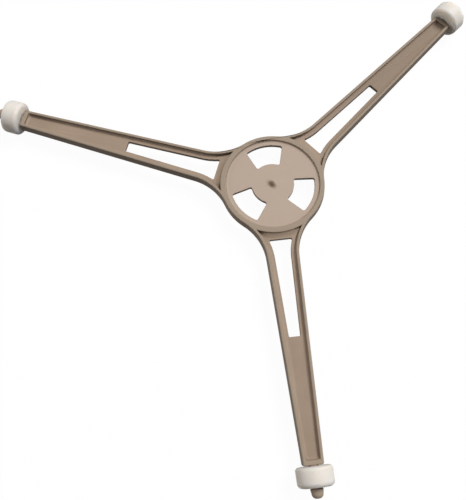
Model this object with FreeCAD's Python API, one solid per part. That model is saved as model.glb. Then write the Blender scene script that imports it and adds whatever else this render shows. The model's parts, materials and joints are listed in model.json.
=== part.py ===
import FreeCAD, Part
import math
import os

# Three-armed roller spider of a microwave turntable: one moulded spider and three rollers.
# Millimetres, +Z up. The origin is on the hub's axis, in the mouth of the drive socket.
# The first arm points about along -Y, and the rollers stand on the oven's floor just below the origin.

# Plan of the arms. The angles are their directions from +X: the real one's arms aren't evenly spread.
ARM_ANGLES = (-95.5, 33.2, 152.0)
ARM_END_RADIUS = 105.0
ARM_ROOT_RADIUS = 34.0
ARM_ROOT_WIDTH = 12.6
ARM_END_WIDTH = 7.9
ARM_CORNER_RADIUS = 0.8
FLARE_RADIUS = 20.0

# Section of the moulding, from the rims' top down
RECESS_DEPTH = 1.6
WEB_THICKNESS = 1.7
SKIRT_DEPTH = 0.4
RIM_WALL = 1.5
END_WALL = 1.7
END_SLOPE = 0.8
RIM_ROUND = 0.5

# Slot through the floor of each arm
SLOT_OUTER_RADIUS = 60.5
SLOT_HUB_LEDGE = 2.3
SLOT_SIDE_LEDGE = 1.8
SLOT_CORNER_RADIUS = 0.5

# Hub
HUB_RADIUS = 20.6
RING_WALL = 2.2
DISC_RECESS = 0.9
WINDOW_COUNT = 3
FIRST_WINDOW_ANGLE = -30.0
WINDOW_RIM = 1.9
WINDOW_INNER_RADIUS = 8.4
WINDOW_SPREAD = 52.0
WINDOW_FLARE = 40.0
WINDOW_CORNER_RADIUS = 0.7
BUMP_DIAMETER = 4.8
BUMP_HEIGHT = 0.7

# Drive boss under the hub, with a D-shaped blind socket
BOSS_DIAMETER = 12.0
BOSS_FLOOR_GAP = 1.5
SOCKET_DIAMETER = 7.1
SOCKET_FLAT = 2.75
SOCKET_DEPTH = 4.4

# Rollers and axles
ROLLER_DIAMETER = 13.0
ROLLER_LENGTH = 6.9
ROLLER_ROUND = 1.2
AXLE_DIAMETER = 3.6
AXLE_CLEARANCE = 0.06
AXIAL_PLAY = 0.3
HEAD_BARB = 0.5
HEAD_LENGTH = 3.3
HEAD_TIP_DIAMETER = 3.6
HEAD_TIP_ROUND = 1.1
BORE_CHAMFER = 0.3

# How far a cutting or joining solid runs past the face that it meets
OVERRUN = 1.0

# Places closer together than this are the same place
SAME = 1e-4

# Worked-out levels and radii
ARM_HEIGHT = RECESS_DEPTH + WEB_THICKNESS + SKIRT_DEPTH
AXLE_LEVEL = ROLLER_DIAMETER / 2 - BOSS_FLOOR_GAP
RIM_TOP = AXLE_LEVEL + ARM_HEIGHT / 2
WEB_TOP = RIM_TOP - RECESS_DEPTH
WEB_BOTTOM = WEB_TOP - WEB_THICKNESS
SKIRT_BOTTOM = WEB_BOTTOM - SKIRT_DEPTH
DISC_TOP = RIM_TOP - DISC_RECESS
DISC_BOTTOM = DISC_TOP - WEB_THICKNESS
RING_INNER_RADIUS = HUB_RADIUS - RING_WALL
SLOT_INSET = RIM_WALL + SLOT_SIDE_LEDGE
ROLLER_START = ARM_END_RADIUS + AXIAL_PLAY
HEAD_START = ROLLER_START + ROLLER_LENGTH + AXIAL_PLAY

ORIGIN = FreeCAD.Vector(0, 0, 0)
UP = FreeCAD.Vector(0, 0, 1)


def mirrored(point):
    """Return the point on the other side of an arm that lies along +X."""
    return FreeCAD.Vector(point.x, -point.y, point.z)


def line(start, end):
    """Return a straight edge."""
    return Part.LineSegment(start, end).toShape()


def arc_about(centre, start, end):
    """Return the short arc about a centre from start to end."""
    radius = (start - centre).Length
    towards = (start - centre) + (end - centre)
    middle = centre + towards.normalize() * radius
    return Part.Arc(start, middle, end).toShape()


def prism(edges, bottom, top):
    """Return the solid over a closed plan outline, between two levels."""
    face = Part.Face(Part.Wire(Part.__sortEdges__(edges)))
    face.translate(UP * bottom)
    return face.extrude(UP * (top - bottom))


def turned(shape, angle):
    """Return a copy of a shape, turned about the hub's axis."""
    copy = shape.copy()
    copy.rotate(ORIGIN, UP, angle)
    return copy


def round_each_arm(shape):
    """Return one copy of a shape for each arm, from a shape made for an arm along +X."""
    return [turned(shape, angle) for angle in ARM_ANGLES]


def upright_edges(solid):
    """Return a prism's edges that stand along Z."""
    return [edge for edge in solid.Edges if max(edge.BoundBox.XLength, edge.BoundBox.YLength) < SAME]


def edges_at_level(solid, level):
    """Return the edges that lie flat at a level."""
    flat = [edge for edge in solid.Edges if edge.BoundBox.ZLength < SAME]
    return [edge for edge in flat if abs(edge.BoundBox.ZMin - level) < SAME]


class ArmSide:
    """Left side of an arm along +X: a straight taper and a hollow flare, tangent to it and to the hub.

    An inset moves the side towards the middle of the arm, at the same distance everywhere.
    """

    def __init__(self):
        narrowing = (ARM_ROOT_WIDTH - ARM_END_WIDTH) / 2
        taper = math.atan2(narrowing, ARM_END_RADIUS - ARM_ROOT_RADIUS)
        self.along = FreeCAD.Vector(math.cos(taper), -math.sin(taper), 0)
        self.outward = FreeCAD.Vector(math.sin(taper), math.cos(taper), 0)
        beside_root = FreeCAD.Vector(ARM_ROOT_RADIUS, ARM_ROOT_WIDTH / 2, 0) + self.outward * FLARE_RADIUS
        reach = HUB_RADIUS + FLARE_RADIUS
        run = beside_root.dot(self.along)
        step = math.sqrt(run ** 2 - beside_root.dot(beside_root) + reach ** 2) - run
        self.flare_centre = beside_root + self.along * step

    def on_hub(self):
        """Return the point where the flare leaves the hub's outer circle."""
        return self.flare_centre * (HUB_RADIUS / self.flare_centre.Length)

    def straight_start(self, inset):
        """Return the point where the flare runs into the straight side."""
        return self.flare_centre - self.outward * (FLARE_RADIUS + inset)

    def straight_at(self, x, inset):
        """Return the point of the straight side at a distance along the arm."""
        start = self.straight_start(inset)
        return start + self.along * ((x - start.x) / self.along.x)

    def flare_at(self, x, inset):
        """Return the point of the flare at a distance along the arm."""
        drop = math.sqrt((FLARE_RADIUS + inset) ** 2 - (x - self.flare_centre.x) ** 2)
        return FreeCAD.Vector(x, self.flare_centre.y - drop, 0)

    def flare_on_ring(self, inset):
        """Return the point where the inset flare crosses the hub's outer circle, on the arm's side."""
        distance = self.flare_centre.Length
        towards = self.flare_centre / distance
        across = FreeCAD.Vector(towards.y, -towards.x, 0)
        foot = (HUB_RADIUS ** 2 - (FLARE_RADIUS + inset) ** 2 + distance ** 2) / (2 * distance)
        return towards * foot + across * math.sqrt(HUB_RADIUS ** 2 - foot ** 2)


SIDE = ArmSide()


def arm_outline(hub_point, inset, end_x):
    """Return the edges of both sides and the end of an arm along +X, open towards the hub."""
    start = SIDE.straight_start(inset)
    end = SIDE.straight_at(end_x, inset)
    right = mirrored(SIDE.flare_centre)
    return [
        arc_about(right, mirrored(hub_point), mirrored(start)),
        line(mirrored(start), mirrored(end)),
        line(mirrored(end), end),
        line(end, start),
        arc_about(SIDE.flare_centre, start, hub_point),
    ]


def hub_arcs():
    """Return the arcs of the hub's outer circle that show between the arms."""
    left = [turned(Part.Vertex(SIDE.on_hub()), angle).Point for angle in ARM_ANGLES]
    right = [turned(Part.Vertex(mirrored(SIDE.on_hub())), angle).Point for angle in ARM_ANGLES]
    return [arc_about(ORIGIN, start, end) for start, end in zip(left, right[1:] + right[:1])]


def spider_blank():
    """Return the spider's outline as a plain slab with a rounded upper edge."""
    arms = round_each_arm(Part.Compound(arm_outline(SIDE.on_hub(), 0, ARM_END_RADIUS)))
    edges = [edge for shape in arms for edge in shape.Edges] + hub_arcs()
    slab = prism(edges, SKIRT_BOTTOM, RIM_TOP)
    corners = [edge for edge in upright_edges(slab) if edge.CenterOfMass.Length > ARM_END_RADIUS]
    slab = slab.makeFillet(ARM_CORNER_RADIUS, corners)
    return slab.makeFillet(RIM_ROUND, edges_at_level(slab, RIM_TOP))


def arm_recess():
    """Return the outline of an arm's open channel: inside its rims, from the hub's ring to the end wall."""
    hub_point = SIDE.flare_on_ring(RIM_WALL)
    edges = arm_outline(hub_point, RIM_WALL, ARM_END_RADIUS - END_WALL)
    return edges + [arc_about(ORIGIN, mirrored(hub_point), hub_point)]


def arm_channel():
    """Return the solid that hollows the top of an arm, with a slope up to the end wall."""
    channel = prism(arm_recess(), WEB_TOP, RIM_TOP + OVERRUN)
    end = [edge for edge in edges_at_level(channel, WEB_TOP) if is_near(edge, ARM_END_RADIUS - END_WALL)]
    return channel.makeChamfer(END_SLOPE, end)


def arm_underside():
    """Return the solid that hollows the underside of an arm."""
    return prism(arm_recess(), SKIRT_BOTTOM - OVERRUN, WEB_BOTTOM)


def arm_slot():
    """Return the solid that opens the slot in an arm's floor."""
    hub_x = HUB_RADIUS + SLOT_HUB_LEDGE
    hub_point = SIDE.flare_at(hub_x, SLOT_INSET)
    edges = arm_outline(hub_point, SLOT_INSET, SLOT_OUTER_RADIUS)
    edges.append(line(mirrored(hub_point), hub_point))
    slot = prism(edges, WEB_BOTTOM - OVERRUN, WEB_TOP + OVERRUN)
    ends = [edge for edge in upright_edges(slot) if not is_near(edge, SIDE.straight_start(SLOT_INSET).x)]
    return slot.makeFillet(SLOT_CORNER_RADIUS, ends)


def is_near(edge, x):
    """Say whether an edge stands at a distance along an arm on +X."""
    return abs(edge.CenterOfMass.x - x) < SAME


def hub_windows():
    """Return the solids that open the windows in the hub's disc."""
    outer_radius = RING_INNER_RADIUS - WINDOW_RIM
    half_spread = math.radians(WINDOW_SPREAD / 2)
    half_flare = math.radians(WINDOW_FLARE / 2)
    outer = FreeCAD.Vector(math.cos(half_spread), math.sin(half_spread), 0) * outer_radius
    inwards = FreeCAD.Vector(-math.cos(half_flare), -math.sin(half_flare), 0)
    run = outer.dot(inwards)
    length = -run - math.sqrt(run ** 2 - outer_radius ** 2 + WINDOW_INNER_RADIUS ** 2)
    inner = outer + inwards * length
    edges = [
        arc_about(ORIGIN, mirrored(outer), outer),
        line(outer, inner),
        arc_about(ORIGIN, inner, mirrored(inner)),
        line(mirrored(inner), mirrored(outer)),
    ]
    window = prism(edges, DISC_BOTTOM - OVERRUN, DISC_TOP + OVERRUN)
    window = window.makeFillet(WINDOW_CORNER_RADIUS, upright_edges(window))
    step = 360 / WINDOW_COUNT
    return [turned(window, FIRST_WINDOW_ANGLE + step * index) for index in range(WINDOW_COUNT)]


def hub_recess():
    """Return the solid that sinks the top of the hub inside its ring."""
    return Part.makeCylinder(RING_INNER_RADIUS, DISC_RECESS + OVERRUN, UP * DISC_TOP)


def hub_underside():
    """Return the solid that hollows the hub from below."""
    bottom = SKIRT_BOTTOM - OVERRUN
    return Part.makeCylinder(RING_INNER_RADIUS, DISC_BOTTOM - bottom, UP * bottom)


def drive_boss():
    """Return the boss under the hub that takes the drive shaft."""
    return Part.makeCylinder(BOSS_DIAMETER / 2, DISC_BOTTOM + WEB_THICKNESS / 2)


def drive_socket():
    """Return the D-shaped solid of the blind socket, which opens downwards."""
    radius = SOCKET_DIAMETER / 2
    round_hole = Part.makeCylinder(radius, SOCKET_DEPTH + OVERRUN, UP * -OVERRUN)
    corner = FreeCAD.Vector(-radius, -SOCKET_FLAT, -OVERRUN)
    keyed = Part.makeBox(2 * radius, radius + SOCKET_FLAT, SOCKET_DEPTH + OVERRUN, corner)
    return round_hole.common(keyed)


def centre_bump():
    """Return the low dome in the middle of the hub's top."""
    half = BUMP_DIAMETER / 2
    radius = (half ** 2 + BUMP_HEIGHT ** 2) / (2 * BUMP_HEIGHT)
    centre = UP * (DISC_TOP + BUMP_HEIGHT - radius)
    dome = Part.makeSphere(radius, centre, FreeCAD.Vector(1, 0, 0))
    keep = Part.makeCylinder(half, BUMP_HEIGHT + WEB_THICKNESS / 2, UP * (DISC_TOP - WEB_THICKNESS / 2))
    return dome.common(keep)


def turned_piece(edges):
    """Return the solid of revolution of a half section in the XZ plane about an arm's axle."""
    face = Part.Face(Part.Wire(Part.__sortEdges__(edges)))
    solid = face.revolve(ORIGIN, FreeCAD.Vector(1, 0, 0), 360)
    solid.translate(UP * AXLE_LEVEL)
    return solid


def half_section(points):
    """Return the closed edges through points given as distance along the axle and radius."""
    corners = [FreeCAD.Vector(x, 0, radius) for x, radius in points]
    return [line(start, end) for start, end in zip(corners, corners[1:] + corners[:1])]


def eased_corner(end, radius, size):
    """Return the points of an outer corner at a piece's far end, eased by two equal bevels."""
    bevel = size * (1 - math.sqrt(0.5))
    return [(end - size, radius), (end - bevel, radius - bevel), (end, radius - size)]


def axle():
    """Return the stub axle of an arm along +X, with its snap head."""
    shaft = AXLE_DIAMETER / 2
    tip = HEAD_START + HEAD_LENGTH
    section = half_section([
        (ARM_END_RADIUS - END_WALL / 2, 0),
        (ARM_END_RADIUS - END_WALL / 2, shaft),
        (HEAD_START, shaft),
        (HEAD_START, shaft + HEAD_BARB),
        *eased_corner(tip, HEAD_TIP_DIAMETER / 2, HEAD_TIP_ROUND),
        (tip, 0),
    ])
    return turned_piece(section)


def roller():
    """Return the roller of an arm along +X."""
    bore = AXLE_DIAMETER / 2 + AXLE_CLEARANCE
    outer = ROLLER_DIAMETER / 2
    half = ROLLER_LENGTH / 2
    far_half = [
        *eased_corner(half, outer, ROLLER_ROUND),
        (half, bore + BORE_CHAMFER),
        (half - BORE_CHAMFER, bore),
    ]
    near_half = [(-x, radius) for x, radius in reversed(far_half)]
    solid = turned_piece(half_section(far_half + near_half))
    solid.translate(FreeCAD.Vector(ROLLER_START + half, 0, 0))
    return solid


def spider():
    """Return the one-piece moulding: hub, arms and axles."""
    hollows = [hub_recess(), hub_underside()] + hub_windows()
    for cutter in (arm_channel(), arm_underside(), arm_slot()):
        hollows += round_each_arm(cutter)
    body = spider_blank().cut(hollows)
    body = body.fuse([drive_boss(), centre_bump()] + round_each_arm(axle()))
    return body.cut(drive_socket()).removeSplitter()


os.makedirs("parts", exist_ok=True)
spider().Solids[0].exportStep("parts/spider.step")
for number, solid in enumerate(round_each_arm(roller()), start=1):
    solid.exportStep(f"parts/roller_{number}.step")
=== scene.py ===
import json
import logging
import math
from dataclasses import dataclass
from enum import Enum

import bpy
from mathutils import Matrix, Vector
from mathutils.kdtree import KDTree


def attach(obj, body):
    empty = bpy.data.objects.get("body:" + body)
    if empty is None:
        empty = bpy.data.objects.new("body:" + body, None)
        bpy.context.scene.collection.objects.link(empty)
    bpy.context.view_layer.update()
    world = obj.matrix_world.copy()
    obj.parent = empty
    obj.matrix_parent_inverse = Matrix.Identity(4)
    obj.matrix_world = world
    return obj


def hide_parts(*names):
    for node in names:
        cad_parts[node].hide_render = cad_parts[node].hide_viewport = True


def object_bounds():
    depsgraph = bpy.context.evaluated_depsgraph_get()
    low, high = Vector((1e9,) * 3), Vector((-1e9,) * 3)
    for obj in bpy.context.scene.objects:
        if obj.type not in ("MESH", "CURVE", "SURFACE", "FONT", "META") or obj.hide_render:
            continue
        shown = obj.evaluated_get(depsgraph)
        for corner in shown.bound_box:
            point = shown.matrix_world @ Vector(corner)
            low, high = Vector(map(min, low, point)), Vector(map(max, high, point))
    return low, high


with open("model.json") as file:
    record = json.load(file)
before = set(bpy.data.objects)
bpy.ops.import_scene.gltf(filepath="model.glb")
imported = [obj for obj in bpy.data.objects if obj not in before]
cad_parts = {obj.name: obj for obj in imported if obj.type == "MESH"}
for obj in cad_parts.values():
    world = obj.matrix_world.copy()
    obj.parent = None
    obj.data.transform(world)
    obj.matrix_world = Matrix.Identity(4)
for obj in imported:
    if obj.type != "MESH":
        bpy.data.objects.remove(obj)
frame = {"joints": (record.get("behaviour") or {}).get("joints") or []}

# Roller spider of a microwave turntable: a taupe moulded spider and three white rollers.
# The shapes are worked out in millimetres, in the CAD model's frame, and end in metres.

CAD_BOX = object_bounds()
LOG = logging.getLogger("roller_spider")
MM = 0.001

# How finely rounds are drawn: the length of a step along an arc, and the steps of a corner, turn and edge
CHORD = 1.0
CORNER_STEPS = 5
TURN_STEPS = 96
EDGE_STEPS = 3

# Points closer together than this are the same point
SAME_PLACE = 0.001

Loop = list[Vector]
Profile = list[tuple[float, float]]


class Joining(Enum):
    """Ways in which one solid takes in another."""

    ADD = "UNION"
    CUT = "DIFFERENCE"


def linear(hex_code: str) -> tuple[float, float, float, float]:
    """Turn an sRGB colour into Blender's linear one.

    Args:
        hex_code: The colour as #RRGGBB.

    Returns:
        Linear red, green, blue and an alpha of 1.
    """
    parts = [int(hex_code[start:start + 2], 16) / 255 for start in (1, 3, 5)]
    red, green, blue = (
        part / 12.92 if part <= 0.04045 else ((part + 0.055) / 1.055) ** 2.4 for part in parts
    )
    return red, green, blue, 1.0


def add_node(tree: bpy.types.NodeTree, kind: str, settings: dict, links: dict) -> bpy.types.Node:
    """Add a node with its settings and links.

    Args:
        tree: The node tree that gets the node.
        kind: The node's type name.
        settings: Values by property name or input socket name.
        links: Output sockets by the name or number of the input socket that they feed.

    Returns:
        The new node.
    """
    node = tree.nodes.new(kind)
    for name, value in settings.items():
        if isinstance(name, str) and hasattr(node, name):
            setattr(node, name, value)
        else:
            node.inputs[name].default_value = value
    for name, socket in links.items():
        tree.links.new(socket, node.inputs[name])
    return node


def activate(piece: bpy.types.Object) -> None:
    """Make a piece the only selected one, and the active one.

    Args:
        piece: The piece to select.
    """
    bpy.ops.object.select_all(action="DESELECT")
    piece.select_set(True)
    bpy.context.view_layer.objects.active = piece


def arc(centre: Vector, start: Vector, end: Vector) -> Loop:
    """Return points along the short arc between two points.

    Args:
        centre: The arc's centre in plan.
        start: The first point.
        end: The last point.

    Returns:
        The points, both ends among them.
    """
    first = start - centre
    turn = first.angle_signed(end - centre)
    count = max(2, math.ceil(abs(turn) * first.length / CHORD))
    return [centre + Matrix.Rotation(-turn * step / count, 2) @ first for step in range(count + 1)]


def circle(radius: float) -> Loop:
    """Return points round a full circle about the hub's axis.

    Args:
        radius: The circle's radius.

    Returns:
        The points, anticlockwise from +X.
    """
    count = math.ceil(2 * math.pi * radius / CHORD)
    angles = [2 * math.pi * step / count for step in range(count)]
    return [Vector((radius * math.cos(angle), radius * math.sin(angle))) for angle in angles]


def eased(before: Vector, corner: Vector, after: Vector, radius: float) -> Loop:
    """Round the corner between two straight runs.

    Args:
        before: A point on the run that comes in.
        corner: The sharp corner.
        after: A point on the run that goes out.
        radius: The corner's radius.

    Returns:
        Points along the rounded corner.
    """
    back = (before - corner).normalized()
    ahead = (after - corner).normalized()
    half = back.angle(ahead) / 2
    centre = corner + (back + ahead).normalized() * (radius / math.sin(half))
    reach = radius / math.tan(half)
    first = corner + back * reach - centre
    turn = first.angle_signed(corner + ahead * reach - centre)
    shares = [step / CORNER_STEPS for step in range(CORNER_STEPS + 1)]
    return [centre + Matrix.Rotation(-turn * share, 2) @ first for share in shares]


def mirrored(points: Loop) -> Loop:
    """Return the points on the other side of an arm along +X, in the other order."""
    return [Vector((point.x, -point.y)) for point in reversed(points)]


def turned(points: Loop, angle: float) -> Loop:
    """Return the points turned about the hub's axis."""
    return [Matrix.Rotation(angle, 2) @ point for point in points]


def moulding(
    name: str, loops: list[Loop], levels: tuple[float, float], edge_round: float
) -> bpy.types.Object:
    """Draw a flat solid over closed plan loops, with all its edges rounded.

    Args:
        name: The solid's name.
        loops: The outer loop and the loops of its holes.
        levels: The lower and upper level.
        edge_round: The radius of the edges.

    Returns:
        The solid as a mesh object.
    """
    low, high = levels
    outline = bpy.data.curves.new(name, "CURVE")
    outline.dimensions = "2D"
    outline.fill_mode = "BOTH"
    outline.extrude = (high - low) / 2 - edge_round
    outline.bevel_depth = edge_round
    outline.offset = -edge_round
    outline.bevel_resolution = EDGE_STEPS
    for loop in loops:
        spline = outline.splines.new("POLY")
        spline.points.add(len(loop) - 1)
        spline.use_cyclic_u = True
        for place, point in zip(spline.points, loop):
            place.co = (point.x, point.y, 0.0, 1.0)
    solid = bpy.data.objects.new(name, outline)
    bpy.context.scene.collection.objects.link(solid)
    solid.location.z = (low + high) / 2
    activate(solid)
    bpy.ops.object.convert(target="MESH")
    bpy.ops.object.transform_apply(location=True, rotation=False, scale=False)
    close_mesh()
    return bpy.context.object


def close_mesh() -> None:
    """Merge the active mesh's doubled points and turn its faces outwards."""
    bpy.ops.object.mode_set(mode="EDIT")
    bpy.ops.mesh.select_all(action="SELECT")
    bpy.ops.mesh.remove_doubles(threshold=SAME_PLACE)
    bpy.ops.mesh.normals_make_consistent(inside=False)
    bpy.ops.object.mode_set(mode="OBJECT")


def spun(name: str, profile: Profile, axis: Vector) -> bpy.types.Object:
    """Turn a solid about an axis through the origin.

    Args:
        name: The solid's name.
        profile: Distances along the axis and radii, from one end to the other.
        axis: The axis of the turn.

    Returns:
        The solid as a mesh object.
    """
    side = Vector((0.0, 0.0, 1.0)) if abs(axis.z) < 0.5 else Vector((1.0, 0.0, 0.0))
    places = [axis * along + side * radius for along, radius in profile]
    bpy.ops.object.select_all(action="DESELECT")
    bpy.ops.mesh.primitive_plane_add(location=places[0])
    bpy.ops.object.transform_apply(location=True, rotation=False, scale=False)
    solid = bpy.context.object
    solid.name = name
    bpy.ops.object.mode_set(mode="EDIT")
    bpy.ops.mesh.select_all(action="SELECT")
    bpy.ops.mesh.merge(type="CENTER")
    for start, end in zip(places, places[1:]):
        bpy.ops.mesh.extrude_vertices_move(TRANSFORM_OT_translate={"value": end - start})
    bpy.ops.mesh.select_all(action="SELECT")
    bpy.ops.mesh.spin(steps=TURN_STEPS, angle=2 * math.pi, center=(0.0, 0.0, 0.0), axis=axis)
    bpy.ops.object.mode_set(mode="OBJECT")
    close_mesh()
    return solid


def join(solid: bpy.types.Object, other: bpy.types.Object, joining: Joining) -> None:
    """Let one solid take in another, which is then removed.

    Args:
        solid: The solid that stays.
        other: The solid that is added or cut away.
        joining: The way in which it is taken in.
    """
    activate(solid)
    change = solid.modifiers.new("join", "BOOLEAN")
    change.operation = joining.value
    change.solver = "EXACT"
    change.object = other
    bpy.ops.object.modifier_apply(modifier=change.name)
    bpy.data.objects.remove(other)


def finish_mesh(piece: bpy.types.Object, smooth_angle: float) -> None:
    """Bring a piece from millimetres to metres, and shade its rounds smooth and its flats flat.

    Args:
        piece: The finished mesh object.
        smooth_angle: The angle in degrees up to which neighbouring faces are shaded as one.
    """
    piece.data.transform(Matrix.Scale(MM, 4))
    activate(piece)
    bpy.ops.object.shade_smooth_by_angle(angle=math.radians(smooth_angle))
    shading = piece.modifiers.new("flats", "WEIGHTED_NORMAL")
    shading.keep_sharp = True
    shading.weight = 100
    bpy.ops.object.modifier_apply(modifier=shading.name)


def quarter(centre: tuple[float, float], radius: float, start: float, steps: int) -> Profile:
    """Return a quarter round of a profile.

    Args:
        centre: The round's centre.
        radius: The round's radius.
        start: The first point's angle in degrees.
        steps: The number of steps.

    Returns:
        The points, clockwise from the first.
    """
    across, above = centre
    angles = [math.radians(start - 90.0 * step / steps) for step in range(steps + 1)]
    return [(across + radius * math.cos(angle), above + radius * math.sin(angle)) for angle in angles]


@dataclass(frozen=True)
class MouldedTaupePlastic:
    """Filled polypropylene, injection moulded, with painted shade and a painted sheen in its colour."""

    # Moulding gives the eye a weak broad sheen, a slightly cloudy colour and a dark gate mark on the hub,
    # with painted shade on the mound's lower-left flank.
    # Painted into the colour are a sheen on the disc and shade on upright sides and in inner corners; the
    # rims' tops are greyer and one arm is darker from 25 mm out.

    name: str = "polypropylene_taupe_moulded"
    light: str = "#AC9886"
    dark: str = "#958272"
    rim: str = "#9B8D7D"
    disc: str = "#BFAEA1"
    gate: str = "#66573F"
    corner_shade: str = "#4F4232"
    side: str = "#5F5246"
    dull: str = "#938171"
    dull_direction: float = 33.2
    dull_start: float = 25.0
    dull_full: float = 60.0
    disc_start: float = 18.3
    disc_full: float = 17.8
    disc_share: float = 0.65
    rim_start: float = 6.0
    rim_full: float = 6.5
    rim_share: float = 0.7
    gate_place: tuple[float, float] = (-0.5, -0.3)
    gate_turn: float = -55.0
    gate_stretch: tuple[float, float] = (1.25, 0.8)
    gate_radius: float = 2.4
    gate_full: float = 0.2
    gate_share: float = 0.95
    side_shade_share: float = 0.8
    cloud_size: float = 9.0
    grain_size: float = 0.6
    grain_depth: float = 0.014
    corner_reach: float = 1.6
    ior: float = 1.49
    gloss: float = 0.25
    roughness: tuple[float, float] = (0.55, 0.7)

    def build(self) -> bpy.types.Material:
        """Make the material.

        Returns:
            The material, for a piece in metres with its place in its mesh.
        """
        material = bpy.data.materials.new(self.name)
        material.use_nodes = True
        tree = material.node_tree
        shader = tree.nodes["Principled BSDF"]
        shader.inputs["IOR"].default_value = self.ior
        shader.inputs["Specular IOR Level"].default_value = self.gloss
        place = add_node(tree, "ShaderNodeTexCoord", {}, {}).outputs["Object"]

        # Flow marks of the moulding, as soft clouds of two tones
        cloud = add_node(
            tree,
            "ShaderNodeTexNoise",
            {"Scale": 1 / (self.cloud_size * MM), "Detail": 4.0},
            {"Vector": place},
        )
        tone = add_node(
            tree,
            "ShaderNodeMix",
            {"data_type": "RGBA", 6: linear(self.dark), 7: linear(self.light)},
            {0: cloud.outputs["Fac"]},
        )

        # The duller arm
        towards = math.radians(self.dull_direction)
        along = add_node(
            tree,
            "ShaderNodeVectorMath",
            {"operation": "DOT_PRODUCT", 1: (math.cos(towards), math.sin(towards), 0.0)},
            {0: place},
        )
        on_dull = add_node(
            tree,
            "ShaderNodeMapRange",
            {"From Min": self.dull_start * MM, "From Max": self.dull_full * MM},
            {"Value": along.outputs["Value"]},
        )
        duller = add_node(
            tree,
            "ShaderNodeMix",
            {"data_type": "RGBA", 7: linear(self.dull)},
            {0: on_dull.outputs[0], 6: tone.outputs[2]},
        )

        # Painted sheen: the disc inside the hub's ring is painted paler
        flat = add_node(
            tree,
            "ShaderNodeVectorMath",
            {"operation": "MULTIPLY", 1: (1.0, 1.0, 0.0)},
            {0: place},
        )
        reach = add_node(tree, "ShaderNodeVectorMath", {"operation": "LENGTH"}, {0: flat.outputs[0]})
        on_disc = add_node(
            tree,
            "ShaderNodeMapRange",
            {"From Min": self.disc_start * MM, "From Max": self.disc_full * MM, "To Max": self.disc_share},
            {"Value": reach.outputs["Value"]},
        )
        disc_painted_sheen = add_node(
            tree,
            "ShaderNodeMix",
            {"data_type": "RGBA", 7: linear(self.disc)},
            {0: on_disc.outputs[0], 6: duller.outputs[2]},
        )

        # The rims' tops, above 6 mm, in a greyer tone
        height = add_node(tree, "ShaderNodeSeparateXYZ", {}, {0: place})
        on_rim = add_node(
            tree,
            "ShaderNodeMapRange",
            {"From Min": self.rim_start * MM, "From Max": self.rim_full * MM, "To Max": self.rim_share},
            {"Value": height.outputs["Z"]},
        )
        rim_toned = add_node(
            tree,
            "ShaderNodeMix",
            {"data_type": "RGBA", 7: linear(self.rim)},
            {0: on_rim.outputs[0], 6: disc_painted_sheen.outputs[2]},
        )

        # The gate mark, where the plastic ran in, with painted shade on the mound's lower-left flank: a
        # dark oval set a little off the middle of the hub towards that flank
        gate_right, gate_up = self.gate_place
        about_gate = add_node(
            tree,
            "ShaderNodeMapping",
            {
                "vector_type": "TEXTURE",
                "Location": (gate_right * MM, gate_up * MM, 0.0),
                "Rotation": (0.0, 0.0, math.radians(self.gate_turn)),
                "Scale": (*self.gate_stretch, 1.0),
            },
            {"Vector": flat.outputs[0]},
        )
        from_gate = add_node(
            tree, "ShaderNodeVectorMath", {"operation": "LENGTH"}, {0: about_gate.outputs[0]}
        )
        on_gate = add_node(
            tree,
            "ShaderNodeMapRange",
            {
                "interpolation_type": "SMOOTHSTEP",
                "From Min": self.gate_radius * MM,
                "From Max": self.gate_full * MM,
                "To Max": self.gate_share,
            },
            {"Value": from_gate.outputs["Value"]},
        )
        gate_and_painted_shade = add_node(
            tree,
            "ShaderNodeMix",
            {"data_type": "RGBA", 7: linear(self.gate)},
            {0: on_gate.outputs[0], 6: rim_toned.outputs[2]},
        )

        # Painted shade: faces that stand more upright are painted darker
        facing = add_node(tree, "ShaderNodeNewGeometry", {}, {})
        tilt = add_node(tree, "ShaderNodeSeparateXYZ", {}, {0: facing.outputs["Normal"]})
        on_side = add_node(
            tree,
            "ShaderNodeMapRange",
            {
                "interpolation_type": "SMOOTHSTEP",
                "From Min": 0.7,
                "From Max": 0.1,
                "To Max": self.side_shade_share,
            },
            {"Value": tilt.outputs["Z"]},
        )
        painted_side_shade = add_node(
            tree,
            "ShaderNodeMix",
            {"data_type": "RGBA", 7: linear(self.side)},
            {0: on_side.outputs[0], 6: gate_and_painted_shade.outputs[2]},
        )

        # Painted shade in the inner corners, from ambient occlusion
        open_sky = add_node(
            tree, "ShaderNodeAmbientOcclusion", {"Distance": self.corner_reach * MM, "samples": 8}, {}
        )
        clean = add_node(
            tree,
            "ShaderNodeMapRange",
            {"From Min": 0.2, "From Max": 0.75, "To Min": 0.75, "To Max": 1.0},
            {"Value": open_sky.outputs["AO"]},
        )
        colour = add_node(
            tree,
            "ShaderNodeMix",
            {"data_type": "RGBA", 6: linear(self.corner_shade)},
            {0: clean.outputs[0], 7: painted_side_shade.outputs[2]},
        )

        # The mould's grain is finer than a tenth of a millimetre, and is drawn coarser so that it shows
        grain = add_node(
            tree,
            "ShaderNodeTexNoise",
            {"Scale": 1 / (self.grain_size * MM), "Detail": 3.0},
            {"Vector": place},
        )
        smoothest, roughest = self.roughness
        dull = add_node(
            tree,
            "ShaderNodeMapRange",
            {"To Min": smoothest, "To Max": roughest},
            {"Value": cloud.outputs["Fac"]},
        )
        relief = add_node(
            tree,
            "ShaderNodeBump",
            {"Strength": 0.6, "Distance": self.grain_depth * MM},
            {"Height": grain.outputs["Fac"]},
        )
        tree.links.new(colour.outputs[2], shader.inputs["Base Color"])
        tree.links.new(dull.outputs[0], shader.inputs["Roughness"])
        tree.links.new(relief.outputs["Normal"], shader.inputs["Normal"])
        return material


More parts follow.
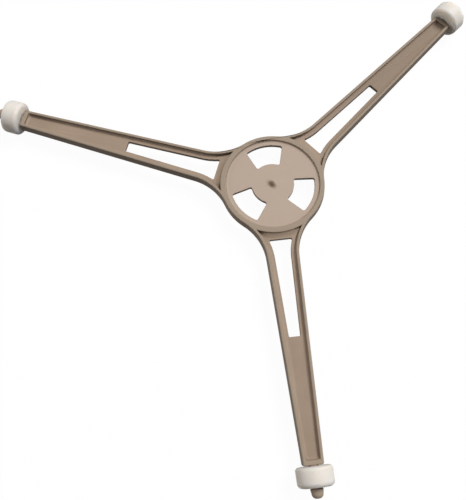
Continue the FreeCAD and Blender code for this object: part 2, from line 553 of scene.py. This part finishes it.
@dataclass(frozen=True)
class MouldedWhiteAcetal:
    """Acetal, injection moulded, and a little scuffed from rolling."""

    # It gives the eye a creamy white that light goes a little way into, with a waxy sheen and faint scuffs.

    name: str = "acetal_white_moulded"
    light: str = "#E8E3DD"
    dark: str = "#DDD7D0"
    scuff_size: float = 1.4
    grain_size: float = 0.5
    grain_depth: float = 0.012
    ior: float = 1.48
    gloss: float = 0.35
    roughness: tuple[float, float] = (0.45, 0.62)
    glow_depth: float = 5.0
    glow_reach: tuple[float, float, float] = (1.0, 0.85, 0.7)

    def build(self) -> bpy.types.Material:
        """Make the material.

        Returns:
            The material, for a piece in metres with its place in its mesh.
        """
        material = bpy.data.materials.new(self.name)
        material.use_nodes = True
        tree = material.node_tree
        shader = tree.nodes["Principled BSDF"]
        shader.inputs["IOR"].default_value = self.ior
        shader.inputs["Subsurface Weight"].default_value = 1.0
        shader.inputs["Subsurface Radius"].default_value = self.glow_reach
        shader.inputs["Subsurface Scale"].default_value = self.glow_depth * MM
        shader.inputs["Specular IOR Level"].default_value = self.gloss
        place = add_node(tree, "ShaderNodeTexCoord", {}, {}).outputs["Object"]

        # Scuffs and grain are finer on the real one, and are drawn coarser so that they show
        scuffs = add_node(
            tree,
            "ShaderNodeTexNoise",
            {"Scale": 1 / (self.scuff_size * MM), "Detail": 5.0},
            {"Vector": place},
        )
        tone = add_node(
            tree,
            "ShaderNodeMix",
            {"data_type": "RGBA", 6: linear(self.dark), 7: linear(self.light)},
            {0: scuffs.outputs["Fac"]},
        )
        smoothest, roughest = self.roughness
        dull = add_node(
            tree,
            "ShaderNodeMapRange",
            {"To Min": smoothest, "To Max": roughest},
            {"Value": scuffs.outputs["Fac"]},
        )
        grain = add_node(
            tree,
            "ShaderNodeTexNoise",
            {"Scale": 1 / (self.grain_size * MM), "Detail": 2.0},
            {"Vector": place},
        )
        relief = add_node(
            tree,
            "ShaderNodeBump",
            {"Strength": 0.5, "Distance": self.grain_depth * MM},
            {"Height": grain.outputs["Fac"]},
        )
        tree.links.new(tone.outputs[2], shader.inputs["Base Color"])
        tree.links.new(dull.outputs[0], shader.inputs["Roughness"])
        tree.links.new(relief.outputs["Normal"], shader.inputs["Normal"])
        return material


@dataclass
class Arm:
    """Plan of an arm along +X: a straight taper with a hollow flare, tangent to it and to the hub."""

    end_radius: float = 105.0
    root_radius: float = 34.0
    root_width: float = 12.6
    end_width: float = 7.9
    corner_radius: float = 0.8
    flare_radius: float = 20.0
    hub_radius: float = 20.6

    def __post_init__(self) -> None:
        """Find the taper's direction and the centre of the flare on the left side."""
        taper = math.atan2((self.root_width - self.end_width) / 2, self.end_radius - self.root_radius)
        self.along = Vector((math.cos(taper), -math.sin(taper)))
        self.outward = Vector((math.sin(taper), math.cos(taper)))
        beside = Vector((self.root_radius, self.root_width / 2)) + self.outward * self.flare_radius
        run = beside.dot(self.along)
        reach = self.hub_radius + self.flare_radius
        step = math.sqrt(run ** 2 - beside.dot(beside) + reach ** 2) - run
        self.flare_centre = beside + self.along * step

    def straight_at(self, x: float, inset: float) -> Vector:
        """Return the point of the left straight side at a distance along the arm."""
        start = self.flare_end(inset)
        return start + self.along * ((x - start.x) / self.along.x)

    def flare_end(self, inset: float) -> Vector:
        """Return the point where the left flare runs into the straight side."""
        return self.flare_centre - self.outward * (self.flare_radius + inset)

    def flare_start(self, inset: float, ring_radius: float) -> Vector:
        """Return the point where the left flare meets a circle about the hub's axis.

        Args:
            inset: How far the flare is moved towards the arm's middle.
            ring_radius: The circle's radius.

        Returns:
            The point on the arm's side of the flare.
        """
        distance = self.flare_centre.length
        towards = self.flare_centre / distance
        across = Vector((towards.y, -towards.x))
        foot = (ring_radius ** 2 - (self.flare_radius + inset) ** 2 + distance ** 2) / (2 * distance)
        return towards * foot + across * math.sqrt(max(ring_radius ** 2 - foot ** 2, 0.0))

    def flare_at(self, x: float, inset: float) -> Vector:
        """Return the point of the left flare at a distance along the arm."""
        drop = math.sqrt((self.flare_radius + inset) ** 2 - (x - self.flare_centre.x) ** 2)
        return Vector((x, self.flare_centre.y - drop))

    def left_side(self, inset: float, start: Vector, end_x: float, corner: float) -> Loop:
        """Return points along the left side and round the end's left corner.

        Args:
            inset: How far the side is moved towards the arm's middle.
            start: The side's first point, on the flare.
            end_x: Where the arm's end stands.
            corner: The radius of the corner at the end.

        Returns:
            The points from the hub outwards.
        """
        flare_end = self.flare_end(inset)
        end = self.straight_at(end_x, inset)
        flare = arc(self.flare_centre, start, flare_end)
        return flare + eased(flare_end, end, Vector((end_x, 0.0)), corner)


@dataclass(frozen=True)
class Cove:
    """Section of a hollow round at the foot of a wall: 1 is a full quarter round, 0 a plain ramp."""

    width: float
    height: float
    hollow: float
    fade: float

    def profile(self) -> Profile:
        """Work out the section, with the wall's foot as the origin.

        Returns:
            The points from the wall down to the floor.
        """
        steps = EDGE_STEPS * 2
        round_part = quarter((-1.0, 1.0), 1.0, 0.0, steps)
        ramp_part = [(-step / steps, 1 - step / steps) for step in range(steps + 1)]
        return [
            (
                self.width * (self.hollow * bent[0] + (1 - self.hollow) * plain[0]),
                self.height * (self.hollow * bent[1] + (1 - self.hollow) * plain[1]),
            )
            for bent, plain in zip(round_part, ramp_part)
        ]


@dataclass
class MouldedSpider:
    """The one-piece spider: hub, channel arms with slots, drive boss and stub axles."""

    arm: Arm
    angles: list[float]
    material: bpy.types.Material
    rim_top: float = 6.85
    web_top: float = 5.25
    web_bottom: float = 3.55
    skirt_bottom: float = 3.15
    rim_wall: float = 1.5
    end_wall: float = 1.7
    rim_round: float = 0.35
    draft: float = 0.4
    weld_reach: float = 0.003
    gap_edges: int = 8
    wall_cove: Cove = Cove(1.5, 1.0, 1.0, 5.0)
    ring_cove: Cove = Cove(2.0, 1.2, 0.35, 2.5)
    cove_root: float = 0.4
    cove_sunk: float = 0.05
    cove_start: float = 23.5
    cove_tip: float = 0.1
    disc_cove_width: float = 1.1
    disc_cove_height: float = 0.5
    web_round: float = 0.25
    inner_corner: float = 0.3
    ring_wall: float = 2.2
    web_in_ring: float = 0.75
    slot_end: float = 60.5
    slot_ledge: float = 2.3
    slot_side: float = 1.8
    disc_top: float = 5.95
    disc_bottom: float = 4.25
    slot_corner: float = 0.5
    window_outer: float = 16.5
    window_inner: float = 8.4
    window_spread: float = 52.0
    window_flare: float = 40.0
    window_corner: float = 0.7
    window_angles: tuple[float, float, float] = (-30.0, 90.0, 210.0)
    bump_radius: float = 2.4
    bump_height: float = 0.7
    boss_radius: float = 6.0
    boss_edge: float = 0.4
    socket_radius: float = 3.55
    socket_flat: float = 2.75
    socket_depth: float = 4.4
    overrun: float = 1.0
    axle_level: float = 5.0
    axle_radius: float = 1.8
    head_start: float = 112.5
    head_length: float = 3.3
    head_radius: float = 2.3
    tip_radius: float = 2.05
    tip_round: float = 1.6
    bump_steps: int = 12
    smooth_angle: float = 35.0

    def outline(self, inset: float) -> Loop:
        """Draw the whole spider's outline.

        Args:
            inset: How far the outline is moved inwards everywhere.

        Returns:
            The closed loop, anticlockwise.
        """
        ring = self.arm.hub_radius - inset
        start = self.arm.flare_centre * (ring / self.arm.flare_centre.length)
        left = self.arm.left_side(inset, start, self.arm.end_radius - inset, self.arm.corner_radius)
        whole: Loop = []
        for angle, following in zip(self.angles, self.angles[1:] + self.angles[:1]):
            whole += turned(self.both_sides(left), angle)
            gap_start = turned([left[0]], angle)[0]
            gap_end = turned(mirrored([left[0]]), following)[0]
            whole += arc(Vector((0.0, 0.0)), gap_start, gap_end)[1:-1]
        return whole

    def lean_walls(self, solid: bpy.types.Object) -> None:
        """Give the outer walls a mould's draft: the foot stays and the top comes in.

        The arms' ends stay upright.

        Args:
            solid: The frame, before anything is joined to it.
        """
        outline = self.outline(0.0)
        tree = KDTree(len(outline))
        for number, point in enumerate(outline):
            tree.insert(point.to_3d(), number)
        tree.balance()
        for vertex in solid.data.vertices:
            place = vertex.co.to_2d()
            number, distance = tree.find(place.to_3d())[1:]
            if distance < 2 * self.rim_round:
                run = (outline[(number + 1) % len(outline)] - outline[number - 1]).normalized()
                inwards = Vector((-run.y, run.x))
                if place.length > self.arm.end_radius - self.end_wall:
                    inwards -= inwards.project(place)
                rise = (vertex.co.z - self.skirt_bottom) / (self.rim_top - self.skirt_bottom)
                vertex.co += inwards.to_3d() * (self.draft * rise)

    def both_sides(self, left: Loop) -> Loop:
        """Return an arm's right side from the hub out, and its left side back to the hub."""
        return [Vector((point.x, -point.y)) for point in left] + list(reversed(left))

    def channel(self) -> Loop:
        """Draw an arm's open channel, from the hub's ring to the end wall.

        Returns:
            The closed loop for an arm along +X.
        """
        start = self.arm.flare_start(self.rim_wall, self.arm.hub_radius)
        end_x = self.arm.end_radius - self.end_wall
        left = self.arm.left_side(self.rim_wall, start, end_x, self.inner_corner)
        ring = arc(Vector((0.0, 0.0)), left[0], Vector((left[0].x, -left[0].y)))
        return self.both_sides(left) + ring[1:-1]

    def slot(self) -> Loop:
        """Draw the slot in an arm's floor.

        Returns:
            The closed loop for an arm along +X.
        """
        inset = self.rim_wall + self.slot_side
        start = self.arm.flare_at(self.arm.hub_radius + self.slot_ledge, inset)
        left = self.arm.left_side(inset, start, self.slot_end, self.slot_corner)
        hub_corner = eased(Vector((start.x, 0.0)), left[0], left[1], self.slot_corner)
        return self.both_sides(hub_corner + left[1:])

    def window(self) -> Loop:
        """Draw a window in the hub's disc.

        Returns:
            The closed loop for a window centred on +X.
        """
        spread = math.radians(self.window_spread / 2)
        flare = math.radians(self.window_flare / 2)
        outer = Vector((math.cos(spread), math.sin(spread))) * self.window_outer
        inwards = Vector((-math.cos(flare), -math.sin(flare)))
        run = outer.dot(inwards)
        depth = math.sqrt(run ** 2 - self.window_outer ** 2 + self.window_inner ** 2)
        inner = outer + inwards * (-run - depth)
        centre = Vector((0.0, 0.0))
        far = arc(centre, Vector((outer.x, -outer.y)), outer)
        near = arc(centre, inner, Vector((inner.x, -inner.y)))
        upper = far[1:-1] + eased(far[-2], outer, inner, self.window_corner)
        upper += eased(outer, inner, near[1], self.window_corner)
        return upper + near[1:-1] + self.lower_corners(far, near)

    def lower_corners(self, far: Loop, near: Loop) -> Loop:
        """Return the two rounded corners of a window on its lower side."""
        inner_corner = eased(near[-2], near[-1], far[0], self.window_corner)
        return inner_corner + eased(near[-1], far[0], far[1], self.window_corner)

    def boss(self) -> bpy.types.Object:
        """Turn the drive boss under the hub.

        Returns:
            The boss, which runs up into the disc.
        """
        middle = (self.disc_top + self.disc_bottom) / 2
        centre = (self.boss_edge, self.boss_radius - self.boss_edge)
        edge = quarter(centre, self.boss_edge, 180.0, EDGE_STEPS)
        profile = [(0.0, 0.0), *edge, (middle, self.boss_radius), (middle, 0.0)]
        return spun("boss", profile, Vector((0.0, 0.0, 1.0)))

    def socket(self) -> bpy.types.Object:
        """Make the solid that opens the D-shaped socket in the boss.

        Returns:
            The solid, which runs past the boss's mouth.
        """
        bpy.ops.object.select_all(action="DESELECT")
        bpy.ops.mesh.primitive_cylinder_add(
            vertices=TURN_STEPS,
            radius=self.socket_radius,
            depth=self.socket_depth + self.overrun,
            location=(0.0, 0.0, (self.socket_depth - self.overrun) / 2),
        )
        bpy.ops.object.transform_apply(location=True, rotation=False, scale=False)
        bpy.ops.object.mode_set(mode="EDIT")
        bpy.ops.mesh.select_all(action="SELECT")
        bpy.ops.mesh.bisect(
            plane_co=(0.0, -self.socket_flat, 0.0),
            plane_no=(0.0, 1.0, 0.0),
            use_fill=True,
            clear_inner=True,
        )
        bpy.ops.object.mode_set(mode="OBJECT")
        close_mesh()
        return bpy.context.object

    def bump(self) -> bpy.types.Object:
        """Turn the low mound in the middle of the hub's top, which runs out softly into the disc.

        Returns:
            The mound, with its foot in the disc.
        """
        shares = [step / self.bump_steps for step in range(self.bump_steps + 1)]
        foot = self.disc_top - self.web_round
        rise = self.bump_height + self.web_round
        mound = [
            (foot + rise * (1 + math.cos(math.pi * share)) / 2, self.bump_radius * share)
            for share in shares
        ]
        return spun("bump", [*mound, (foot, 0.0)], Vector((0.0, 0.0, 1.0)))

    def axle(self) -> bpy.types.Object:
        """Turn a stub axle with its tapered snap head.

        Returns:
            The axle of an arm along +X, with its root in the end wall.
        """
        tip = self.head_start + self.head_length
        centre = (tip - self.tip_round, self.tip_radius - self.tip_round)
        rounding = quarter(centre, self.tip_round, 90.0, EDGE_STEPS * 2)
        root = self.arm.end_radius - self.end_wall / 2
        profile = [
            (root, 0.0),
            (root, self.axle_radius),
            (self.head_start, self.axle_radius),
            (self.head_start, self.head_radius - self.web_round),
            (self.head_start + self.web_round, self.head_radius),
            *rounding,
            (tip, 0.0),
        ]
        solid = spun("axle", profile, Vector((1.0, 0.0, 0.0)))
        solid.data.transform(Matrix.Translation((0.0, 0.0, self.axle_level)))
        return solid

    def wall_foot(self) -> Loop:
        """Draw the foot of the channel's walls.

        Returns:
            The points from the hub out, along the end wall and back.
        """
        start = self.arm.flare_at(self.cove_start, self.rim_wall)
        end_x = self.arm.end_radius - self.end_wall
        return self.both_sides(self.arm.left_side(self.rim_wall, start, end_x, self.wall_cove.width))

    def ring_foot(self) -> Loop:
        """Return the foot of the hub's ring inside an arm's channel, short of the corners."""
        corner = self.arm.flare_start(self.rim_wall, self.arm.hub_radius)
        return arc(Vector((0.0, 0.0)), corner, Vector((corner.x, -corner.y)))[1:-1]

    def cove_profile(self, cove: Cove) -> bpy.types.Object:
        """Draw the section of a hollow round between a wall and the floor.

        Args:
            cove: The section's sizes.

        Returns:
            The section as a curve object, with roots in the wall and the floor.
        """
        outline = bpy.data.curves.new("cove_profile", "CURVE")
        outline.dimensions = "2D"
        root = self.cove_root
        hollow = [(across + self.cove_sunk, above - self.cove_sunk) for across, above in cove.profile()]
        points = [*hollow, (hollow[-1][0], -root), (root, -root), (root, hollow[0][1])]
        spline = outline.splines.new("POLY")
        spline.points.add(len(points) - 1)
        spline.use_cyclic_u = True
        for place, (across, above) in zip(spline.points, points):
            place.co = (across, above, 0.0, 1.0)
        profile = bpy.data.objects.new("cove_profile", outline)
        bpy.context.scene.collection.objects.link(profile)
        return profile

    def cove_along(self, path: Loop, cove: Cove) -> bpy.types.Object:
        """Sweep a hollow round along the foot of a wall, fading out at both ends.

        Args:
            path: The wall's foot in plan, with the channel on its left.
            cove: The section of the hollow round.

        Returns:
            The hollow round as a mesh object.
        """
        profile = self.cove_profile(cove)
        sweep = bpy.data.curves.new("coves", "CURVE")
        sweep.dimensions = "2D"
        sweep.bevel_mode = "OBJECT"
        sweep.bevel_object = profile
        sweep.use_fill_caps = True
        spline = sweep.splines.new("POLY")
        spline.points.add(len(path) - 1)
        for place, point in zip(spline.points, path):
            place.co = (point.x, point.y, 0.0, 1.0)
            from_end = min((point - path[0]).length, (point - path[-1]).length)
            place.radius = min(1.0, self.cove_tip + from_end / cove.fade)
        solid = bpy.data.objects.new("coves", sweep)
        bpy.context.scene.collection.objects.link(solid)
        solid.location.z = self.web_top
        activate(solid)
        bpy.ops.object.convert(target="MESH")
        bpy.ops.object.transform_apply(location=True, rotation=False, scale=False)
        close_mesh()
        bpy.data.objects.remove(profile)
        return bpy.context.object

    def disc_cove(self) -> bpy.types.Object:
        """Turn the hollow round between the hub's ring and its disc.

        Returns:
            The hollow round, with roots in both.
        """
        ring = self.arm.hub_radius - self.ring_wall
        root = self.cove_root
        foot = self.disc_top - self.web_round
        cove = Cove(self.disc_cove_width, self.disc_cove_height, 1.0, 0.0).profile()
        hollow = [(self.disc_top + above, ring + across) for across, above in reversed(cove)]
        section = [(foot, ring + root), (foot, hollow[0][1]), *hollow, (hollow[-1][0], ring + root)]
        return spun("disc_cove", [*section, section[0]], Vector((0.0, 0.0, 1.0)))

    def build(self) -> bpy.types.Object:
        """Model the spider, replace its CAD node and dress it.

        Returns:
            The finished piece.
        """
        frame_loops = [self.outline(0.0), circle(self.arm.hub_radius - self.ring_wall)]
        frame_loops += [turned(self.channel(), angle) for angle in self.angles]
        spider = moulding("moulded_spider", frame_loops, (self.skirt_bottom, self.rim_top), self.rim_round)
        self.lean_walls(spider)
        web_loops = [self.outline(self.rim_wall / 2)]
        web_loops += [circle(self.arm.hub_radius - self.web_in_ring * self.ring_wall)]
        web_loops += [turned(self.slot(), angle) for angle in self.angles]
        web = moulding("web", web_loops, (self.web_bottom, self.web_top), self.web_round)
        join(spider, web, Joining.ADD)
        disc_loops = [circle(self.arm.hub_radius - self.ring_wall / 2)]
        disc_loops += [turned(self.window(), math.radians(angle)) for angle in self.window_angles]
        disc = moulding("disc", disc_loops, (self.disc_bottom, self.disc_top), self.web_round)
        join(spider, disc, Joining.ADD)
        join(spider, self.boss(), Joining.ADD)
        join(spider, self.bump(), Joining.ADD)
        join(spider, self.disc_cove(), Joining.ADD)
        for angle in self.angles:
            walls = self.cove_along(self.wall_foot(), self.wall_cove)
            ring = self.cove_along(self.ring_foot(), self.ring_cove)
            for solid in (self.axle(), walls, ring):
                solid.data.transform(Matrix.Rotation(angle, 4, "Z"))
                join(spider, solid, Joining.ADD)
        join(spider, self.socket(), Joining.CUT)
        self.clean(spider)
        finish_mesh(spider, self.smooth_angle)
        spider.data.materials.clear()
        spider.data.materials.append(self.material)
        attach(spider, "spider")
        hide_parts("spider")
        return spider

    def clean(self, spider: bpy.types.Object) -> None:
        """Weld the points that the joining left side by side, and close the gaps between them.

        Args:
            spider: The joined solid.
        """
        activate(spider)
        weld = spider.modifiers.new("weld", "WELD")
        weld.merge_threshold = self.weld_reach
        bpy.ops.object.modifier_apply(modifier=weld.name)
        bpy.ops.object.mode_set(mode="EDIT")
        bpy.ops.mesh.select_all(action="SELECT")
        bpy.ops.mesh.fill_holes(sides=self.gap_edges)
        bpy.ops.object.mode_set(mode="OBJECT")


@dataclass
class Roller:
    """A plain roller with rounded edges and a chamfered bore."""

    material: bpy.types.Material
    start: float = 105.3
    length: float = 6.9
    radius: float = 6.5
    inner_round: float = 1.2
    outer_round: float = 1.8
    bore_radius: float = 1.86
    bore_chamfer: float = 0.3
    axle_level: float = 5.0
    edge_steps: int = 8
    smooth_angle: float = 30.0

    def face(self, edge_round: float) -> Profile:
        """Draw the profile of one end.

        Args:
            edge_round: The radius of the end's outer edge.

        Returns:
            The points from the tread round the edge and into the bore.
        """
        half = self.length / 2
        edge = quarter((half - edge_round, self.radius - edge_round), edge_round, 90.0, self.edge_steps)
        mouth = (half, self.bore_radius + self.bore_chamfer)
        return [*edge, mouth, (half - self.bore_chamfer, self.bore_radius)]

    def model(self) -> bpy.types.Object:
        """Turn a roller.

        Returns:
            The roller of an arm along +X.
        """
        half = self.length / 2
        far = self.face(self.outer_round)
        near = [(-along, radius) for along, radius in reversed(self.face(self.inner_round))]
        solid = spun("roller", [*far, *near, far[0]], Vector((1.0, 0.0, 0.0)))
        solid.data.transform(Matrix.Translation((self.start + half, 0.0, self.axle_level)))
        return solid

    def build(self, angles: list[float]) -> list[bpy.types.Object]:
        """Model one roller, copy it to each arm, replace the CAD nodes and dress the copies.

        Args:
            angles: The arms' directions, in the order of the CAD rollers.

        Returns:
            The finished pieces.
        """
        first = self.model()
        finish_mesh(first, self.smooth_angle)
        first.data.materials.clear()
        first.data.materials.append(self.material)
        pieces = []
        for number, angle in enumerate(angles, start=1):
            mesh = first.data.copy()
            mesh.transform(Matrix.Rotation(angle, 4, "Z"))
            piece = bpy.data.objects.new(f"moulded_roller_{number}", mesh)
            bpy.context.scene.collection.objects.link(piece)
            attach(piece, f"roller_{number}")
            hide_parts(f"roller_{number}")
            pieces.append(piece)
        bpy.data.objects.remove(first)
        return pieces


@dataclass
class Lamp:
    """A square softbox that faces the middle of the spider."""

    name: str
    azimuth: float
    elevation: float
    distance: float
    size: float
    power: float
    colour: str

    def build(self) -> None:
        """Hang the lamp."""
        light = bpy.data.lights.new(self.name, "AREA")
        light.size = self.size
        light.energy = self.power
        light.color = linear(self.colour)[:3]
        lamp = bpy.data.objects.new(self.name, light)
        bpy.context.scene.collection.objects.link(lamp)
        across = math.radians(self.azimuth)
        above = math.radians(self.elevation)
        level = Vector((math.cos(across), math.sin(across), 0.0))
        away = level * math.cos(above) + Vector((0.0, 0.0, math.sin(above)))
        lamp.location = away * self.distance
        lamp.rotation_euler = away.to_track_quat("Z", "Y").to_euler()


@dataclass
class Studio:
    """White floor and surroundings, with a soft key light from the upper right and two weak fills."""

    floor_level: float
    ambient: float = 0.17
    floor_size: float = 6.0
    floor_bounce: str = "#5C5A57"
    floor_face: str = "#FFFFFF"
    shadow_share: float = 0.035

    def seen(self, tree: bpy.types.NodeTree) -> bpy.types.NodeSocket:
        """Tell what the camera sees from what only gives light.

        Args:
            tree: The node tree that gets the nodes.

        Returns:
            A socket that is 1 for what is seen, directly or in a gloss or glass.
        """
        path = add_node(tree, "ShaderNodeLightPath", {}, {})
        gloss = add_node(
            tree,
            "ShaderNodeMath",
            {"operation": "MAXIMUM"},
            {0: path.outputs["Is Camera Ray"], 1: path.outputs["Is Glossy Ray"]},
        )
        both = add_node(
            tree,
            "ShaderNodeMath",
            {"operation": "MAXIMUM"},
            {0: gloss.outputs[0], 1: path.outputs["Is Transmission Ray"]},
        )
        return both.outputs[0]

    def light_world(self) -> None:
        """Make the surroundings: white where they are seen, and a dim fill as light."""
        world = bpy.data.worlds.new("studio")
        bpy.context.scene.world = world
        world.use_nodes = True
        tree = world.node_tree
        tree.nodes.clear()
        fill = add_node(tree, "ShaderNodeBackground", {"Strength": self.ambient}, {})
        white = add_node(tree, "ShaderNodeBackground", {"Color": (1.0, 1.0, 1.0, 1.0), "Strength": 1.0}, {})
        mixed = add_node(
            tree, "ShaderNodeMixShader", {}, {0: self.seen(tree), 1: fill.outputs[0], 2: white.outputs[0]}
        )
        add_node(tree, "ShaderNodeOutputWorld", {}, {"Surface": mixed.outputs[0]})

    def lay_floor(self) -> None:
        """Lay the floor under the rollers: white where it is seen, with a faint shadow."""
        bpy.ops.object.select_all(action="DESELECT")
        bpy.ops.mesh.primitive_plane_add(size=self.floor_size, location=(0.0, 0.0, self.floor_level))
        floor = bpy.context.object
        floor.name = "floor"
        material = bpy.data.materials.new("paper_floor")
        material.use_nodes = True
        tree = material.node_tree
        tree.nodes.clear()
        bounce = add_node(tree, "ShaderNodeBsdfDiffuse", {"Color": linear(self.floor_bounce)}, {})
        face = add_node(tree, "ShaderNodeBsdfDiffuse", {"Color": linear(self.floor_face)}, {})
        white = add_node(tree, "ShaderNodeEmission", {"Strength": 1.0}, {})
        sheet = add_node(
            tree,
            "ShaderNodeMixShader",
            {0: self.shadow_share},
            {1: white.outputs[0], 2: face.outputs[0]},
        )
        mixed = add_node(
            tree, "ShaderNodeMixShader", {}, {0: self.seen(tree), 1: bounce.outputs[0], 2: sheet.outputs[0]}
        )
        add_node(tree, "ShaderNodeOutputMaterial", {}, {"Surface": mixed.outputs[0]})
        floor.data.materials.append(material)

    def build(self) -> None:
        """Set the floor, the surroundings and the lamps."""
        self.light_world()
        self.lay_floor()
        lamps = [
            Lamp("key_softbox", 27.0, 54.0, 3.0, 1.1, 86.0, "#FFFDFA"),
            Lamp("right_fill", -32.0, 12.0, 3.0, 1.6, 15.0, "#F0F3FF"),
            Lamp("left_fill", 165.0, 14.0, 3.0, 1.6, 30.0, "#FFFBF6"),
        ]
        for lamp in lamps:
            lamp.build()


@dataclass
class PictureCamera:
    """Camera at the picture's viewing angle: nearly overhead, a little from the front."""

    image_height: int = 500
    focal_pixels: float = 623.7
    azimuth: float = -11.0
    elevation: float = 72.5
    roll: float = -1.1
    distance: float = 249.9
    slide_right: float = -15.6
    slide_up: float = -24.3
    sensor: float = 24.0

    def build(self) -> None:
        """Set the camera."""
        across, above, tilt = (math.radians(angle) for angle in (self.azimuth, self.elevation, self.roll))
        front = Vector((math.sin(across), -math.cos(across), 0.0))
        back = front * math.cos(above) + Vector((0.0, 0.0, math.sin(above)))
        level = Vector((math.cos(across), math.sin(across), 0.0))
        upright = back.cross(level)
        right = level * math.cos(tilt) + upright * math.sin(tilt)
        up = upright * math.cos(tilt) - level * math.sin(tilt)
        place = (back * self.distance + right * self.slide_right + up * self.slide_up) * MM
        lens = bpy.data.cameras.new("picture_camera")
        lens.sensor_fit = "VERTICAL"
        lens.sensor_height = self.sensor
        lens.lens = self.focal_pixels / self.image_height * self.sensor
        lens.clip_start = 0.01
        camera = bpy.data.objects.new("picture_camera", lens)
        bpy.context.scene.collection.objects.link(camera)
        camera.matrix_world = Matrix((right, up, back)).transposed().to_4x4()
        camera.location = place
        bpy.context.scene.camera = camera


def arm_angles() -> list[float]:
    """Return the arms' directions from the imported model's joints, in radians."""
    return [math.atan2(joint["axis"][1], joint["axis"][0]) for joint in frame["joints"]]


def main() -> None:
    """Build the pieces, the studio and the camera."""
    logging.basicConfig(level=logging.INFO)
    bpy.context.scene.view_settings.view_transform = "Standard"
    angles = arm_angles()
    pieces = [MouldedSpider(Arm(), angles, MouldedTaupePlastic().build()).build()]
    pieces += Roller(MouldedWhiteAcetal().build()).build(angles)
    for piece in pieces:
        LOG.info("%s: %d faces", piece.name, len(piece.data.polygons))
    Studio(CAD_BOX[0].z).build()
    PictureCamera().build()


if __name__ == "__main__":
    main()
